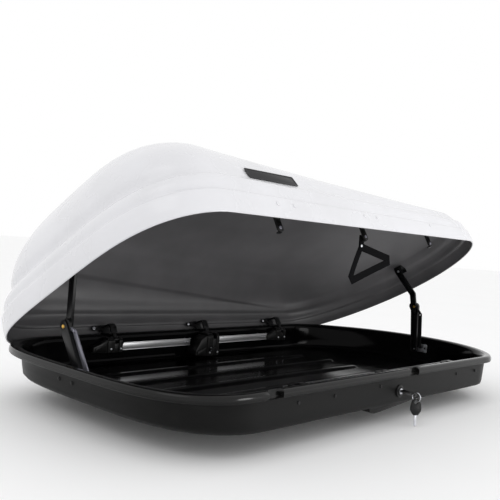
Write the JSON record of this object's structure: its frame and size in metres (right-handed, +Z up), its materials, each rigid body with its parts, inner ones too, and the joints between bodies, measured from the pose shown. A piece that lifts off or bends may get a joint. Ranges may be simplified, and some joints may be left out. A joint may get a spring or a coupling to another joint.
{
  "type": "roof cargo box",
  "caption": "Roof cargo box: shallow black tray, tall white lid on a long side hinge with folding arms, latches, pull strap, lock and keys.",
  "frame": {"origin": "middle of the tray's flat underside, half-way along and across the rim", "axes": "+X to the nose, -Y to the long side that opens, +Z up"},
  "size_m": [1.616, 0.9471, 0.6914],
  "materials": {
    "tray_plastic": "fine-grained black vacuum-formed plastic with a glossy rolled rim",
    "lid_plastic": "gloss off-white outside, dark grey co-extruded inside",
    "black_plastic": "moulded black plastic",
    "black_steel": "black powder coat",
    "zinc_steel": "bright zinc plate",
    "aluminium": "mill-finished extrusion",
    "brass": "yellow passivated rivet",
    "webbing": "woven black webbing"
  },
  "bodies": {
    "tray": {"base_tray": "tray_plastic", "far_lock_rosette": "black_plastic", "hinge_housing_middle": "black_plastic", "hinge_housing_nose": "black_plastic", "hinge_housing_rear": "black_plastic", "hinge_pin_middle": "zinc_steel", "hinge_pin_nose": "zinc_steel", "hinge_pin_rear": "zinc_steel", "hinge_rail_nose": "aluminium", "hinge_rail_rear": "aluminium", "latch_housing_middle": "black_plastic", "latch_housing_nose": "black_plastic", "latch_housing_rear": "black_plastic", "lock_housing": "black_plastic", "lock_rosette": "black_plastic", "nose_arm_bracket": "zinc_steel", "rear_arm_bracket": "zinc_steel", "tray_screw_1": "black_steel", "tray_screw_2": "black_steel", "tray_screw_3": "black_steel", "tray_screw_4": "black_steel", "tray_screw_5": "black_steel"},
    "lid": {"hinge_plate_middle": "black_steel", "hinge_plate_nose": "black_steel", "hinge_plate_rear": "black_steel", "lid_badge": "black_plastic", "lid_hook_middle": "black_plastic", "lid_hook_nose": "black_plastic", "lid_hook_rear": "black_plastic", "lid_rivet_1": "lid_plastic", "lid_rivet_2": "lid_plastic", "lid_rivet_3": "lid_plastic", "lid_rivet_4": "lid_plastic", "lid_rivet_5": "lid_plastic", "lid_shell": "lid_plastic", "nose_lid_bracket": "black_steel", "rear_lid_bracket": "black_steel"},
    "catch_slide": {"catch_bar": "aluminium"},
    "lock": {"lock_barrel": "zinc_steel", "lock_cam": "black_steel"},
    "far_lock": {"far_lock_barrel": "zinc_steel", "far_lock_cam": "black_steel"},
    "key": {"key": "black_plastic", "key_ring": "zinc_steel"},
    "spare_key": {"spare_key": "black_plastic"},
    "rear_lower": {"rear_lower_arm": "black_steel", "rear_spring_bar": "zinc_steel", "rear_elbow_rivet": "brass"},
    "rear_upper": {"rear_upper_arm": "black_steel"},
    "nose_lower": {"nose_lower_arm": "black_steel", "nose_spring_bar": "zinc_steel", "nose_elbow_rivet": "brass"},
    "nose_upper": {"nose_upper_arm": "black_steel"},
    "strap": {"pull_strap": "webbing", "strap_rivet": "zinc_steel"}
  },
  "joints": [
    {"name": "lid_hinge", "type": "hinge", "parent": "tray", "child": "lid", "pos_m": [0, 0.38, 0.082], "axis": [-1, 0, 0], "range_deg": [-28.6, 0]},
    {"name": "rear_arm_base", "type": "hinge", "parent": "tray", "child": "rear_lower", "pos_m": [-0.729, 0.0273, 0.0505], "axis": [-1, 0, 0], "range_deg": [0, 35.1]},
    {"name": "rear_arm_elbow", "type": "hinge", "parent": "rear_lower", "child": "rear_upper", "pos_m": [-0.729, 0.1131, 0.1708], "axis": [-1, 0, 0], "range_deg": [-98.5, 0]},
    {"name": "nose_arm_base", "type": "hinge", "parent": "tray", "child": "nose_lower", "pos_m": [0.741, -0.0264, 0.0489], "axis": [-1, 0, 0], "range_deg": [-65.9, 0]},
    {"name": "nose_arm_elbow", "type": "hinge", "parent": "nose_lower", "child": "nose_upper", "pos_m": [0.741, -0.0187, 0.2132], "axis": [-1, 0, 0], "range_deg": [0, 110.2]},
    {"name": "strap_swing", "type": "hinge", "parent": "lid", "child": "strap", "pos_m": [-0.055, -0.28687, 0.45698], "axis": [-1, 0, 0], "range_deg": [-67.1, 0]},
    {"name": "catch_slide", "type": "slide", "parent": "tray", "child": "catch_slide", "axis": [-1, 0, 0], "range_m": [0, 0.018]},
    {"name": "lock_turn", "type": "hinge", "parent": "tray", "child": "lock", "pos_m": [0, -0.39, 0.036], "axis": [0, 1, 0], "range_deg": [0, 90.2]},
    {"name": "key_pull", "type": "slide", "parent": "lock", "child": "key", "axis": [0, -1, 0], "range_m": [0, 0.028]},
    {"name": "spare_key_swing", "type": "hinge", "parent": "key", "child": "spare_key", "pos_m": [0, -0.4618, 0.0171], "axis": [0, 1, 0], "range_deg": [-90.6, 0]},
    {"name": "far_lock_turn", "type": "hinge", "parent": "tray", "child": "far_lock", "pos_m": [0, 0.39, 0.036], "axis": [0, 1, 0], "range_deg": [0, 90]}
  ],
  "couplings": [
    {"joint": "rear_arm_base", "follows": "lid_hinge", "ratio": -1.2241},
    {"joint": "rear_arm_elbow", "follows": "lid_hinge", "ratio": 3.4367},
    {"joint": "nose_arm_base", "follows": "lid_hinge", "ratio": 2.3003},
    {"joint": "nose_arm_elbow", "follows": "lid_hinge", "ratio": -3.8476},
    {"joint": "strap_swing", "follows": "lid_hinge", "ratio": 2.3427},
    {"joint": "lock_turn", "follows": "catch_slide", "rad_per_m": 87.266},
    {"joint": "spare_key_swing", "follows": "catch_slide", "rad_per_m": -87.266}
  ]
}
